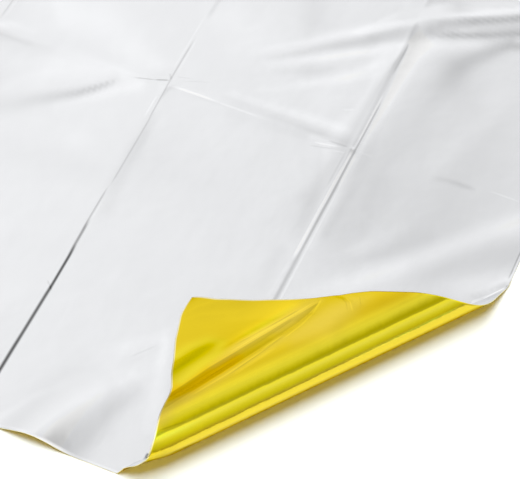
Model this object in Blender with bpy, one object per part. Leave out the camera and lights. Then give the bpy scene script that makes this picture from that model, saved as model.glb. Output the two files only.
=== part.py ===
"""Emergency foil blanket: one sheet of metallised film, laid out flat with one corner turned over.

The flat sheet is measured from its near right-hand corner: "across" runs left along the near
edge and "away" runs along the right-hand edge.  Its underside, the gold face, is shaped first
and the silver face then follows from the sheet's thickness.
"""
import math

import bmesh
import bpy
from mathutils import Vector, noise

# Sheet, in metres
WIDTH = 1.600
LENGTH = 2.100
THICKNESS = 0.001

# Packing creases: sixteen panels across, and rows of them away from a narrow first one
PANEL_WIDTH = 0.100
FIRST_ROW = 0.079
ROWS = 15
ROW_LENGTH = (LENGTH - FIRST_ROW) / ROWS

# Relief left by the packing creases: every second crease stands up, the others lie down
RIDGE_HEIGHT = 0.0058
CROSS_RIDGE_HEIGHT = 0.0036
RIDGE_REACH = 0.040
RIDGE_VARIATION = 0.6
CONTACT_BAND = 0.012
SWELL_HEIGHT = 0.0030
SWELL_LENGTH = 0.190
SETTLING = 0.0012
EDGE_LIFT = 0.0090
EDGE_REACH = 0.070
EDGE_WAVE = 0.110

# The part of the sheet handled last lies smoother, around the turned corner
SMOOTHED_SHARE = 0.40
SMOOTHED_RADIUS = 0.420
SMOOTHED_BLEND = 0.250

# Flat disc on which the middle of the sheet rests
REST_RADIUS = 0.090
REST_BLEND = 0.070

# Folds pulled into the sheet by hand, near the turned corner. Each is a row of stations along its
# crest, in millimetres on the flat sheet: across, away, height (below 0 for a trough), half width
PULLED_FOLDS = (
    ((172, 252, 0.3, 8), (148, 275, 1.8, 12), (118, 296, 3.2, 14), (98, 311, 3.8, 14),
     (54, 338, 4.2, 14), (0, 368, 3.6, 14)),
    ((88, 282, -0.2, 12), (72, 282, -1.6, 14), (58, 301, -1.6, 14), (40, 315, -1.4, 14),
     (0, 332, -1.0, 14)),
    ((224, 208, -0.2, 10), (240, 192, -1.2, 12), (258, 177, -1.2, 14), (276, 166, -0.8, 16),
     (300, 152, 0.0, 18)),
    ((199, 215, 0.4, 14), (150, 215, 1.0, 14), (100, 212, 0.6, 14)),
    ((92, 120, 0.2, 14), (79, 129, 0.9, 16), (52, 158, 1.1, 16), (32, 183, 1.1, 16),
     (0, 212, 1.0, 16)),
)
# Lift of the near edge beside the turned corner, in the same columns
EDGE_FOLDS = (
    ((169, -2, 5.4, 22), (165, 10, 3.6, 20), (158, 26, 1.6, 17), (148, 44, 0.3, 13)),
)

# Turned-over corner: the fold line runs from the near edge to the right-hand edge
FOLD_ON_NEAR_EDGE = 0.127
FOLD_ON_RIGHT_EDGE = 0.166
FOLD_LENGTH = math.hypot(FOLD_ON_NEAR_EDGE, FOLD_ON_RIGHT_EDGE)
CORNER_HEIGHT = FOLD_ON_NEAR_EDGE * FOLD_ON_RIGHT_EDGE / FOLD_LENGTH

# Section of the roll: distance past the fold line, heading of the sheet in degrees at the
# near-edge end and at the right-edge end (0 outward, 90 up, 180 back over the sheet)
ROLL_SECTION = (
    (0.0000, 32, 32),
    (0.0030, 46, 46),
    (0.0080, 42, 42),
    (0.0115, 57, 57),
    (0.0150, 84, 84),
    (0.0170, 100, 95),
    (0.0185, 116, 105),
    (0.0200, 121, 117),
    (0.0230, 130, 125),
    (0.0261, 140, 137),
    (0.0280, 152, 149),
    (0.0300, 166, 163),
    (0.0330, 176, 172),
    (0.0380, 210, 192),
    (0.0480, 199, 195),
    (0.0600, 205, 211),
    (0.0760, 194, 201),
    (0.0920, 182, 185),
    (0.1010, 216, 215),
)
# Sideways shift of the roll toward the near-edge end: distance past the fold line, shift
ROLL_SHIFT = (
    (0.000, 0.0000),
    (0.012, 0.0016),
    (0.020, 0.0025),
    (0.035, 0.0020),
    (0.050, 0.0002),
    (0.065, 0.0040),
    (0.080, 0.0067),
    (0.092, 0.0068),
    (0.101, 0.0030),
)
ROLL_STEP = 0.0005

# The sheet lies flat below the turned corner and rises to its relief beyond it
FLAT_BELOW_CORNER = 0.062
CORNER_BLEND = 0.035

# Mesh spacing
NEAR_ACROSS = 0.320
NEAR_AWAY = 0.390
NEAR_CUTS_ACROSS = 25
NEAR_CUTS_AWAY = 30
ROLL_CUTS = (0.0015, 0.003, 0.0075, 0.0115, 0.0140, 0.0165, 0.0190, 0.0220, 0.0250, 0.0275,
             0.0300, 0.0330, 0.0380, 0.0480, 0.0600, 0.0760, 0.0880, 0.0950)
ROLL_STRIP = 0.018

SILVER = (0.70, 0.71, 0.72, 1.0)
METALLIC = 1.0
ROUGHNESS = 0.35


def clear_scene():
    """Remove every object from the scene."""
    for item in list(bpy.data.objects):
        bpy.data.objects.remove(item, do_unlink=True)


def smooth_step(value):
    """Ease from 0 to 1 while value goes from 0 to 1."""
    value = min(max(value, 0.0), 1.0)
    return value * value * (3.0 - 2.0 * value)


def read_table(table, position, column):
    """Linear reading of a table's column at a position between its rows."""
    for low, high in zip(table, table[1:]):
        if position <= high[0]:
            share = (position - low[0]) / (high[0] - low[0])
            return low[column] + (high[column] - low[column]) * max(share, 0.0)
    return table[-1][column]


def past_fold(across, away):
    """Distance of a flat point past the fold line, toward the sheet's corner."""
    return CORNER_HEIGHT - (across * FOLD_ON_RIGHT_EDGE + away * FOLD_ON_NEAR_EDGE) / FOLD_LENGTH


def along_fold(across, away):
    """Distance of a flat point along the fold line, from its near-edge end."""
    return (away * FOLD_ON_RIGHT_EDGE
            - (across - FOLD_ON_NEAR_EDGE) * FOLD_ON_NEAR_EDGE) / FOLD_LENGTH


def from_fold(along, outward):
    """Flat point at a distance along the fold line and a distance outward from it."""
    across = FOLD_ON_NEAR_EDGE - (along * FOLD_ON_NEAR_EDGE
                                  + outward * FOLD_ON_RIGHT_EDGE) / FOLD_LENGTH
    away = (along * FOLD_ON_RIGHT_EDGE - outward * FOLD_ON_NEAR_EDGE) / FOLD_LENGTH
    return across, away


def ridge(distance, reach):
    """Height, from 0 to 1, of a ridge at a distance from its crest."""
    return max(0.0, 1.0 - abs(distance) / reach) ** 1.5


def crease_share(index, position):
    """Uneven strength of one packing crease along its length."""
    sample = noise.noise(Vector((index * 3.7, position * 6.0, 0.5)))
    return max(0.15, 1.0 + RIDGE_VARIATION * 2.0 * sample)


def crease_relief(across, away):
    """Height that the packing creases give the sheet."""
    column = round(across / PANEL_WIDTH)
    row = round((away - FIRST_ROW) / ROW_LENGTH)
    height = 0.0
    if column % 2 == 1:
        distance = across - column * PANEL_WIDTH
        height += RIDGE_HEIGHT * crease_share(column, away) * ridge(distance, RIDGE_REACH)
    if row % 2 == 1:
        distance = away - FIRST_ROW - row * ROW_LENGTH
        share = crease_share(row + 40, across)
        height += CROSS_RIDGE_HEIGHT * share * ridge(distance, RIDGE_REACH)
    return height


def beside_row(across, away, row):
    """Distance of a flat point from a row of stations, and the height and half width there."""
    nearest = math.inf
    here = (0.0, 1.0)
    for start, end in zip(row, row[1:]):
        first = Vector(start[0:2]) / 1000.0
        run = Vector(end[0:2]) / 1000.0 - first
        point = Vector((across, away)) - first
        share = min(max(point.dot(run) / run.dot(run), 0.0), 1.0)
        distance = (point - run * share).length
        if distance < nearest:
            nearest = distance
            here = (start[2] + (end[2] - start[2]) * share, start[3] + (end[3] - start[3]) * share)
    return nearest, here[0] / 1000.0, here[1] / 1000.0


def folds_relief(across, away, folds):
    """Height of folds pulled into the sheet by hand."""
    height = 0.0
    for row in folds:
        distance, crest, half_width = beside_row(across, away, row)
        height += crest * smooth_step(1.0 - distance / half_width)
    return height


def edge_relief(across, away):
    """Height by which the free edges lift off in places."""
    inside = min(across, WIDTH - across, away, LENGTH - away)
    wave = noise.noise(Vector((across / EDGE_WAVE, away / EDGE_WAVE, 2.9)))
    return EDGE_LIFT * max(wave, 0.0) * ridge(inside, EDGE_REACH)


def relief(across, away):
    """Height of the sheet's underside above the surface it lies on."""
    swell = noise.noise(Vector((across / SWELL_LENGTH, away / SWELL_LENGTH, 7.3)))
    height = crease_relief(across, away) + edge_relief(across, away) + SWELL_HEIGHT * swell
    smoothed = smooth_step((math.hypot(across, away) - SMOOTHED_RADIUS) / SMOOTHED_BLEND)
    height *= SMOOTHED_SHARE + (1.0 - SMOOTHED_SHARE) * smoothed
    height += folds_relief(across, away, PULLED_FOLDS) - SETTLING
    lying_crease = round(across / (2.0 * PANEL_WIDTH)) * 2.0 * PANEL_WIDTH
    if abs(across - lying_crease) < CONTACT_BAND:
        height -= SETTLING
    rest = math.hypot(across - WIDTH / 2.0, away - LENGTH / 2.0)
    height *= smooth_step((rest - REST_RADIUS) / REST_BLEND)
    height *= smooth_step((-past_fold(across, away) - FLAT_BELOW_CORNER) / CORNER_BLEND)
    return max(height, 0.0) + folds_relief(across, away, EDGE_FOLDS)


def roll_point(along, past):
    """Outward distance and height of the rolled sheet, from its headings added up."""
    share = min(max(along / FOLD_LENGTH, 0.0), 1.0)
    steps = max(1, round(past / ROLL_STEP))
    step = past / steps
    outward = 0.0
    height = 0.0
    for index in range(steps):
        position = (index + 0.5) * step
        near_end = read_table(ROLL_SECTION, position, 1)
        right_end = read_table(ROLL_SECTION, position, 2)
        heading = math.radians(near_end + (right_end - near_end) * share)
        outward += step * math.cos(heading)
        height += step * math.sin(heading)
    return outward, height


def lay(across, away):
    """World position of a flat point once the sheet is laid out and its corner turned."""
    past = past_fold(across, away)
    height = relief(across, away)
    if past > 0.0:
        along = along_fold(across, away)
        outward, height = roll_point(along, past)
        across, away = from_fold(along - read_table(ROLL_SHIFT, past, 1), outward)
    return Vector((WIDTH / 2.0 - across, away - LENGTH / 2.0, height))


def flat_of(point):
    """Flat coordinates of a point of the unshaped sheet."""
    return WIDTH / 2.0 - point.x, point.y + LENGTH / 2.0


def cut(sheet, place, normal, wanted):
    """Cut the wanted faces of the flat sheet by one upright plane."""
    faces = [face for face in sheet.faces if wanted(*flat_of(face.calc_center_median()))]
    edges = {edge for face in faces for edge in face.edges}
    corners = {corner for face in faces for corner in face.verts}
    bmesh.ops.bisect_plane(sheet, geom=faces + list(edges) + list(corners),
                           plane_co=place, plane_no=normal, dist=1e-6)


def everywhere(across, away):
    """Region of the whole sheet."""
    return True


def near_corner(across, away):
    """Region around the turned corner, without the corner itself."""
    return across < NEAR_ACROSS and away < NEAR_AWAY and past_fold(across, away) < 0.0


def in_corner(across, away):
    """Region of the corner that is turned over."""
    return past_fold(across, away) > 0.0


def cut_across(sheet, across, wanted):
    """Cut along a line that runs away from the near edge."""
    cut(sheet, (WIDTH / 2.0 - across, 0.0, 0.0), (1.0, 0.0, 0.0), wanted)


def cut_away(sheet, away, wanted):
    """Cut along a line that runs across the sheet."""
    cut(sheet, (0.0, away - LENGTH / 2.0, 0.0), (0.0, 1.0, 0.0), wanted)


def cut_from_fold(sheet, along, outward, normal, wanted):
    """Cut along a line given by a point in the fold line's own directions."""
    across, away = from_fold(along, outward)
    cut(sheet, (WIDTH / 2.0 - across, away - LENGTH / 2.0, 0.0), normal, wanted)


def cut_pattern(sheet):
    """Cut the flat sheet along its creases, its contact bands and the rows of the roll."""
    outward = Vector((FOLD_ON_RIGHT_EDGE, -FOLD_ON_NEAR_EDGE, 0.0)).normalized()
    sideways = Vector((-outward.y, outward.x, 0.0))
    cut_from_fold(sheet, 0.0, 0.0, outward, everywhere)

    def outside_corner(across, away):
        return past_fold(across, away) < 0.0

    panels = round(WIDTH / PANEL_WIDTH)
    for column in range(1, panels):
        cut_across(sheet, column * PANEL_WIDTH, outside_corner)
    for column in range(1, panels, 2):
        cut_across(sheet, column * PANEL_WIDTH - RIDGE_REACH, outside_corner)
        cut_across(sheet, column * PANEL_WIDTH + RIDGE_REACH, outside_corner)
    for row in range(ROWS):
        cut_away(sheet, FIRST_ROW + row * ROW_LENGTH, outside_corner)
        cut_away(sheet, FIRST_ROW + (row + 0.5) * ROW_LENGTH, outside_corner)
    for index in range(1, NEAR_CUTS_ACROSS):
        cut_across(sheet, NEAR_ACROSS * index / NEAR_CUTS_ACROSS, near_corner)
    for index in range(1, NEAR_CUTS_AWAY):
        cut_away(sheet, NEAR_AWAY * index / NEAR_CUTS_AWAY, near_corner)
    for past in ROLL_CUTS:
        cut_from_fold(sheet, 0.0, past, outward, in_corner)
    for index in range(1, round(FOLD_LENGTH / ROLL_STRIP)):
        cut_from_fold(sheet, index * ROLL_STRIP, 0.0, sideways, in_corner)


def shape_underside():
    """Mesh of the sheet's gold face, laid out with its corner turned over."""
    sheet = bmesh.new()
    corners = ((-0.5, -0.5), (0.5, -0.5), (0.5, 0.5), (-0.5, 0.5))
    sheet.faces.new([sheet.verts.new((x * WIDTH, y * LENGTH, 0.0)) for x, y in corners])
    cut_pattern(sheet)
    bmesh.ops.triangulate(sheet, faces=sheet.faces[:])
    for point in sheet.verts:
        point.co = lay(*flat_of(point.co))
    mesh = bpy.data.meshes.new("foil_blanket")
    sheet.to_mesh(mesh)
    sheet.free()
    mesh.shade_smooth()
    return mesh


def foil_material():
    """Metallised film."""
    material = bpy.data.materials.new("metallised_film")
    material.use_nodes = True
    shader = material.node_tree.nodes["Principled BSDF"]
    shader.inputs["Base Color"].default_value = SILVER
    shader.inputs["Metallic"].default_value = METALLIC
    shader.inputs["Roughness"].default_value = ROUGHNESS
    return material


def build():
    """Make the blanket."""
    clear_scene()
    mesh = shape_underside()
    mesh.materials.append(foil_material())
    blanket = bpy.data.objects.new("foil_blanket", mesh)
    bpy.context.scene.collection.objects.link(blanket)
    thicken = blanket.modifiers.new("thickness", "SOLIDIFY")
    thicken.thickness = THICKNESS
    thicken.offset = 1.0
    thicken.use_even_offset = True


build()
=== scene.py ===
"""Emergency foil blanket, dressed: bright film laid flat, one corner rolled over to its gold side.

Flat points of the sheet are measured in metres from its near right-hand corner: "across" runs left
along the near edge and "away" runs along the right-hand edge.
"""
import math

import bpy
import numpy as np
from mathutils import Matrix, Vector, noise


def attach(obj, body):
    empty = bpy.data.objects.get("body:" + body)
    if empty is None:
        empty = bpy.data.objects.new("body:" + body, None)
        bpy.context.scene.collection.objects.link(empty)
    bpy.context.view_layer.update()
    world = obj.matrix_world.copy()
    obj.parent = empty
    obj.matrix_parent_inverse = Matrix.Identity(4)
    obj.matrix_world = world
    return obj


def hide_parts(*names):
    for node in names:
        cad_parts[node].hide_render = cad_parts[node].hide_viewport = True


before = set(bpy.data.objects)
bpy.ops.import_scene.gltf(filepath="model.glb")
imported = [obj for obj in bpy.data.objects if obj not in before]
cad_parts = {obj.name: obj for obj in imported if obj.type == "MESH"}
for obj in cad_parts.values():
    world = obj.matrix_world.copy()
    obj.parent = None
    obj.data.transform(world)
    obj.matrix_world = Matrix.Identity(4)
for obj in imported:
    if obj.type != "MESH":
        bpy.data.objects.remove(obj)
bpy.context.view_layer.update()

# ---------------- sizes of the sheet, in metres
WIDTH = 1.600
LENGTH = 2.100
FILM = 0.00025          # thicker than real film, so that both faces render cleanly
UNDERSIDE = 0.0001      # clearance under the sheet
MM_PER_METRE = 1000.0
HUNDREDTHS = 100.0

# Packing creases: sixteen panels across, and rows of them away from a narrow first one
PANEL_WIDTH = 0.100
FIRST_ROW = 0.079
ROWS = 15
ROW_LENGTH = (LENGTH - FIRST_ROW) / ROWS

# Relief left by the packing creases: every second crease stands up, the others lie down
RIDGE_HEIGHT = 0.0058
CROSS_RIDGE_HEIGHT = 0.0036
RIDGE_REACH = 0.040
RIDGE_SHARPNESS = 1.5
RIDGE_VARIATION = 0.6
LEAST_RIDGE = 0.15
RIDGE_CHANGES = 6.0     # to the metre, along a crease
SWELL_HEIGHT = 0.0030
SWELL_LENGTH = 0.190
SETTLING = 0.0012
EDGE_LIFT = 0.0090
EDGE_REACH = 0.070
EDGE_WAVE = 0.110

# Places in the noise that make the creases, swells and edges unlike each other
SEED_STEP = 3.7
CROSS_SEED = 40
RIDGE_SEED = 0.5
SWELL_SEED = 7.3
EDGE_SEED = 2.9

# The part of the sheet handled last lies smoother, around the turned corner
SMOOTHED_SHARE = 0.40
SMOOTHED_RADIUS = 0.420
SMOOTHED_BLEND = 0.250

# Flat disc on which the middle of the sheet rests
REST_RADIUS = 0.090
REST_BLEND = 0.070

# Turned-over corner: the fold line runs from the near edge to the right-hand edge
FOLD_ON_NEAR_EDGE = 0.127
FOLD_ON_RIGHT_EDGE = 0.166
FOLD_LENGTH = math.hypot(FOLD_ON_NEAR_EDGE, FOLD_ON_RIGHT_EDGE)
CORNER_HEIGHT = FOLD_ON_NEAR_EDGE * FOLD_ON_RIGHT_EDGE / FOLD_LENGTH
FLAT_BELOW_CORNER = 0.062
CORNER_BLEND = 0.035

# Section of the roll: distance past the fold line in millimetres, heading of the film in degrees
# at the near-edge end and at the right-edge end (0 outward, 90 up, 180 back over the sheet)
ROLL_SECTION = np.array((
    (0, 32, 32), (3, 46, 46), (8, 42, 42), (11.5, 57, 57), (15, 84, 84), (17, 100, 95),
    (18.5, 119, 108), (20, 124, 119), (23, 130, 125), (26.1, 140, 137), (28, 152, 149),
    (30, 166, 163), (33, 176, 172), (38, 210, 192), (48, 199, 195), (60, 205, 211), (76, 194, 201),
    (92, 182, 185), (101, 216, 215),
)) / (MM_PER_METRE, 1, 1)
# Sideways shift of the roll toward its near-edge end: distance past the fold line, shift
ROLL_SHIFT = np.array((
    (0, 0), (12, 1.6), (20, 2.5), (35, 2), (50, 0.2), (65, 4), (80, 6.7), (92, 6.8), (101, 3),
)) / MM_PER_METRE
ROLL_STEP = 0.00025     # length of film over which the heading is taken as even
ROLL_EASE = 0.005       # the corner's own folds start softly, this far past the fold line

# Folds pulled in by hand. Each is a row of stations along its crest, in millimetres on the flat
# sheet: across, away, height (below 0 for a trough), half width
PULLED_FOLDS = (
    # upper wave: far crest, near crest and the small crest below them
    ((172, 252, 0.1, 5), (150, 269, 0.9, 6), (129, 282, 1.6, 8), (109, 296, 1.8, 11),
     (98, 303, 1.4, 12), (88, 311, 1.7, 12), (79, 317, 2.3, 12), (49, 333, 2.4, 12),
     (0, 356, 2.2, 13)),
    ((168, 248, 0.1, 4), (148, 259, 0.7, 5), (129, 269, 1, 6), (112, 281, 0.5, 6),
     (100, 290, 0.1, 6)),
    ((84, 302, 0.1, 6), (74, 306, 0.9, 7), (49, 318, 1.5, 9), (0, 340, 1.6, 11)),
    ((158, 238, 0.1, 5), (135, 250, 0.6, 6), (115, 262, 0.7, 6), (104, 274, 0.2, 5)),
    # dip below the wave, right of the second column crease
    ((84, 268, -0.2, 8), (72, 278, -1.2, 11), (60, 294, -1.4, 10), (46, 308, -1.4, 10),
     (0, 330, -1, 12)),
    # soft wedge, left of the first column crease
    ((224, 208, -0.2, 4), (240, 192, -1.2, 9), (258, 177, -1.2, 13), (276, 166, -0.8, 16),
     (300, 152, 0, 18)),
    # narrow ridge on the first column crease
    ((200, 146, 0.1, 5), (200, 170, 0.9, 6), (201, 195, 0.8, 5), (201, 218, 0.2, 4)),
    # pleat on the first row crease, either side of the first column crease
    ((199, 215, 0.2, 3), (183, 215, 0.7, 4), (150, 215, 0.4, 5), (124, 213, 0.5, 4),
     (100, 212, 0.4, 3)),
    ((55, 213, -0.1, 4), (45, 215, -0.6, 5), (35, 213, -0.3, 4), (10, 214, 0.2, 4)),
    # long soft bands between the second column crease and the right-hand edge
    ((92, 120, 0.2, 12), (79, 129, 0.9, 12), (52, 158, 1.1, 12), (32, 183, 1.1, 12),
     (0, 212, 1, 14)),
    ((63, 223, 0.1, 10), (53, 243, 0.7, 12), (44, 267, 0.3, 12)),
    ((70, 170, -0.3, 10), (48, 194, -0.7, 12), (20, 226, -0.5, 12)),
    # pull beside the turned corner's left-hand end
    ((160, 52, 0.1, 6), (150, 63, 0.5, 7), (138, 76, 0.7, 7), (120, 90, 0.3, 6)),
)

# Lift of the near edge beside the turned corner, and small folds beside it, in the same columns
EDGE_FOLDS = (
    ((169, -2, 5.4, 22), (165, 10, 3.6, 20), (158, 26, 1.6, 17), (148, 44, 0.3, 13)),
    ((12, 153, 0, 4), (6, 158, 0.7, 5), (-1, 165, 1.4, 6)),
)

# Folds in the turned corner, raised on its gold side, in the same columns
CORNER_FOLDS = (
    # long pleat from the near edge to the right-hand edge, and its two lips
    ((68, -2, -0.9, 8), (58, 9, -1.1, 8), (47, 21, -1.1, 8), (34, 35, -1, 8), (22, 47, -0.9, 8),
     (12, 56, -0.7, 6), (3, 61, -0.1, 4)),
    ((64, 0, 0.3, 4), (55, 9, 0.3, 4), (42, 20, 0.3, 4), (30, 30, 0.3, 4), (19, 42, 0.3, 4),
     (8, 55, 0.3, 3), (1, 62, 0.1, 2)),
    # swelling near the corner's tip
    ((57, -2, 0.7, 8), (47, 6, 0.7, 8), (38, 13, 0.5, 7), (31, 20, 0.1, 5)),
    ((43, -4, -0.4, 9), (34, 7, -0.4, 9), (27, 15, -0.2, 7)),
    # bow of the flap's far edge
    ((-1, 8, 0.4, 12), (-1, 22, 1.6, 16), (-1, 40, 1.5, 16), (-1, 58, 0.2, 12)),
    # near-edge end of the roll, drawn in and up
    ((124, -2, -1.8, 26), (117, -2, -2.8, 28), (108, -2, -2.2, 28), (101, -2, -0.2, 26)),
    # nick on the right-hand edge
    ((1, 71, -0.5, 3), (5, 74, -0.4, 3), (11, 80, 0, 3)),
)

# Painted shade and painted highlights of the bright side, standing in for what the film mirrors
# over soft bends and folds.
# Stations in millimetres on the flat sheet: across, away, half width, change of brightness in
# hundredths
SILVER_LIGHT_AND_SHADE = (
    # painted shade over the right-hand part, its paler painted reflection bands and darker painted
    # shade on the bends between them
    ((86, 140, 10, -3), (84, 150, 11, -8), (84, 165, 13, -11), (84, 205, 13, -11),
     (82, 222, 12, -11), (78, 240, 12, -9), (76, 256, 12, -6)),
    ((46, 275, 22, -6), (46, 245, 26, -9), (46, 215, 28, -10), (46, 190, 28, -11),
     (50, 165, 22, -12), (66, 148, 14, -6)),
    ((60, 212, 5, 2), (57, 222, 6, 6), (52, 238, 6, 6), (46, 256, 6, 6), (42, 280, 9, 5)),
    ((82, 126, 5, 5), (72, 136, 5.5, 12), (62, 146, 6, 18), (52, 156, 6, 20), (44, 165, 5.5, 16),
     (30, 181, 5.5, 14), (12, 200, 6, 15), (0, 212, 6, 12)),
    ((40, 152, 4, -2), (27, 167, 6, -8), (12, 179, 8, -10), (4, 186, 8, -11)),
    ((30, 152, 5, 2), (22, 155, 5, 8), (12, 163, 4.5, 10), (3, 171, 4, 8)),
    ((12, 153.5, 2, -10), (7, 159.5, 2.5, -16), (2, 165, 2.5, -18)),
    ((83, 149, 3, 4), (72, 160, 3.5, 5), (60, 178, 4, 4)),
    ((74, 150, 3, -3), (62, 160, 4, -7), (52, 170, 4, -5), (46, 177, 4, -4)),
    # broad sheen on the left, either side of the first row crease
    ((280, 240, 14, 6), (255, 241, 13, 6), (236, 236, 10, 5), (222, 226, 9, 6), (210, 226, 5, 5)),
    ((216, 212, 4, 6), (228, 213, 4, 9), (245, 209, 7, 9), (262, 203, 9, 7), (280, 197, 9, 6),
     (296, 193, 9, 3)),
    ((296, 217, 2.5, 9), (290, 219, 2.5, 6), (280, 220, 3, 2)),
    ((298, 210, 1.8, -10), (286, 210.4, 1.6, -9), (275, 211.5, 1.2, -4)),
    ((174, 262, 14, 4), (190, 268, 12, 4)),
    # soft wedge and the bright bend below it
    ((226, 208.5, 1.2, -6), (229, 204, 1.7, -20), (234.5, 198, 2.2, -27), (241, 192, 2.8, -23),
     (249.5, 186, 3.6, -17), (258, 180, 4.8, -13), (266, 174, 6.5, -10), (276, 168, 8, -9)),
    ((214, 208, 4, 6), (219, 205, 3.5, 8), (226, 199, 3, 7), (232, 193, 2.5, 6), (239, 187, 2.5, 4),
     (247, 180, 3, 2)),
    ((226, 165, 8, 3), (224, 164, 8, 3)),
    ((252, 146, 14, -3), (212, 150, 8, -2.5)),
    ((180, 165, 22, -3.5), (150, 165, 18, -2.5), (140, 190, 10, -1)),
    # right flank of the first column crease
    ((196, 132, 4, -5), (197.5, 150, 4, -8), (198, 165, 3.6, -10), (198, 182, 3, -11),
     (199, 196, 2.4, -4)),
    # wave left of the second column crease: far crest, valley, near crest, foot and the grey behind
    ((103, 302, 2, 6), (110, 299, 2.4, 12), (120, 291.5, 2.6, 11), (130, 284, 3, 11),
     (140, 276, 2.8, 10), (150, 268, 2.5, 6), (162, 259, 2, 5), (170, 252, 2, 2)),
    ((101, 296, 5, -17), (104, 294, 5, -16), (110, 290, 4.6, -16), (120, 282, 3.4, -18),
     (130, 275.5, 3.2, -18), (140, 268, 2.4, -12), (150, 260, 2, -10), (160, 252, 1.8, -4)),
    ((103, 286, 3, 6), (110, 280, 3.4, 10), (120, 274, 2.6, 15), (130, 267, 2.8, 15),
     (140, 260.5, 2.4, 11), (150, 254, 2.2, 6), (160, 248, 2, 3)),
    ((106, 271, 4, 5), (110, 265, 4, 10), (119, 256, 4, 14), (127, 250, 3.5, 10), (138, 243, 3, 7),
     (147, 236, 2.5, 4), (156, 231, 2, 3)),
    ((128, 258, 2.5, -5), (134, 254, 4, -8), (141, 251, 4, -9), (147, 248, 2.5, -5),
     (153, 245, 2, -3)),
    ((122, 240, 10, 4), (114, 248, 6, 3)),
    ((149, 276, 4, -5), (149, 284, 8, -8), (154, 296, 9, -8)),
    ((104, 318, 6, -9), (109, 308, 4, -4)),
    # the same wave to the right: far crest, two dark folds, near crest, dark dip and the painted
    # shade of the far side
    ((84, 314, 2, 5), (75, 321, 2.4, 10), (65, 328, 2.4, 8), (55, 335, 2.6, 6), (0, 360, 3, 8)),
    ((88, 308.5, 1.8, -8), (80, 313.5, 2, -14), (70, 319, 2.2, -20), (60, 324, 2.2, -25),
     (50, 330, 2.4, -28), (0, 352, 3, -20)),
    ((78, 311, 4, -2), (70, 314, 5, -10), (50, 323, 5, -13)),
    ((88, 300, 1.8, -10), (84, 302, 2, -24), (80, 304, 2.3, -33), (70, 308, 2.5, -32),
     (60, 312.5, 2.6, -29), (50, 318, 2.8, -30), (0, 340, 4, -20)),
    ((94, 291, 6, 16), (88, 293, 6, 15), (84, 294, 5.5, 13), (80, 295.5, 4.2, 11),
     (75, 298, 3.2, 6), (65, 303, 2.6, 7), (60, 306, 2.2, -2), (50, 313, 2, -15)),
    ((74, 258, 8, -4), (73, 268, 9, -12), (71, 277, 8.5, -18), (69, 286, 7.5, -24),
     (65, 292, 6, -25), (60, 298, 5, -24), (55, 304, 4, -26), (50, 308.5, 3.2, -30),
     (0, 332, 5, -15)),
    ((88, 322, 4, -8), (84, 324, 5, -15), (79, 325, 4, -8), (75, 327, 3, -3)),
    # either side of the second column crease
    ((104, 152, 5, -4), (104.5, 164, 5, -12), (105, 176, 5.5, -15), (104.5, 190, 5, -16),
     (103.5, 204, 4.5, -15), (103, 222, 4, -15), (102, 240, 3.5, -14), (101.2, 254, 2.8, -16),
     (100.6, 264, 2.2, -17), (99.6, 274, 1.6, -22), (98.6, 282, 1.1, -22), (98.1, 288, 0.8, -18)),
    ((95.8, 150, 1.6, 6), (95.4, 195, 1.8, 10), (95.2, 213, 2, 13), (94.8, 232, 2.4, 18),
     (94.4, 248, 2.6, 20), (94.2, 262, 3.2, 21), (94, 274, 4.2, 20), (93.5, 286, 5, 18)),
    ((108, 112, 4, -3), (108, 142, 4, -6)),
    ((118, 160, 8, -3), (112, 178, 6, -3)),
    # first row crease: painted shade on the fold and a painted highlight on the bend behind it
    ((172, 218.5, 1.6, -3), (150, 218, 2.2, -6), (132, 217.5, 2.6, -8), (118, 216.5, 3, -14),
     (104, 216, 3.5, -10)),
    ((168, 223, 2, 3), (150, 223, 2.2, 5), (132, 223.5, 3, 9), (112, 224, 3, 9), (106, 224, 2, 4)),
    ((165, 211, 5, -3), (138, 212, 4, -4), (124, 212, 3, -5)),
    ((54, 213, 1.6, -5), (46, 214, 1.6, -10), (38, 213.8, 1.6, -11), (33, 214, 1.2, 0)),
    # hump of the near edge, and the pulls between it and the turned corner
    ((160, -2, 5, 22), (159, 8, 5, 22), (157, 16, 4.5, 17), (155, 24, 4.5, 13), (151, 34, 4, 12),
     (148, 40, 4, 8), (143, 49, 4, 7)),
    ((148, -2, 5, -16), (145.5, 8, 5, -15), (143, 18, 5, -13), (142, 28, 4.5, -11),
     (138.5, 38, 4, -8), (136, 43, 3, -5)),
    ((184, 2, 6, -5), (179, 14, 6, -8), (174, 26, 7, -8), (166, 36, 7, -7), (158, 44, 5, -5)),
    ((124, 28, 4, 4), (126, 40, 4, 7), (130, 52, 4, 6), (133, 62, 3, 9), (136, 72, 3, 10),
     (138, 77, 3, 5)),
    ((140, 73, 3, 4), (146, 68, 4, 6), (152, 62, 5, 7), (158, 55, 5, 3)),
    ((138, 62, 4, 3), (141, 52, 4, 4)),
    # beside the second column crease: painted highlight at the wave, painted shade further down
    ((96.5, 290, 4, 10), (96.5, 296, 4.5, 18), (97, 302, 3, 12)),
    ((91, 160, 3, -7), (90, 190, 3, -7), (89, 205, 2, -2)),
    ((80, 290, 9, -4.5), (66, 270, 9, -4), (50, 262, 6, -2)),
    ((78, 200, 7, -3.5), (76, 172, 7, -4.5)),
    # end of the hump at the near edge
    ((158, 2, 5, 7), (160, 12, 3, 3)),
)
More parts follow.
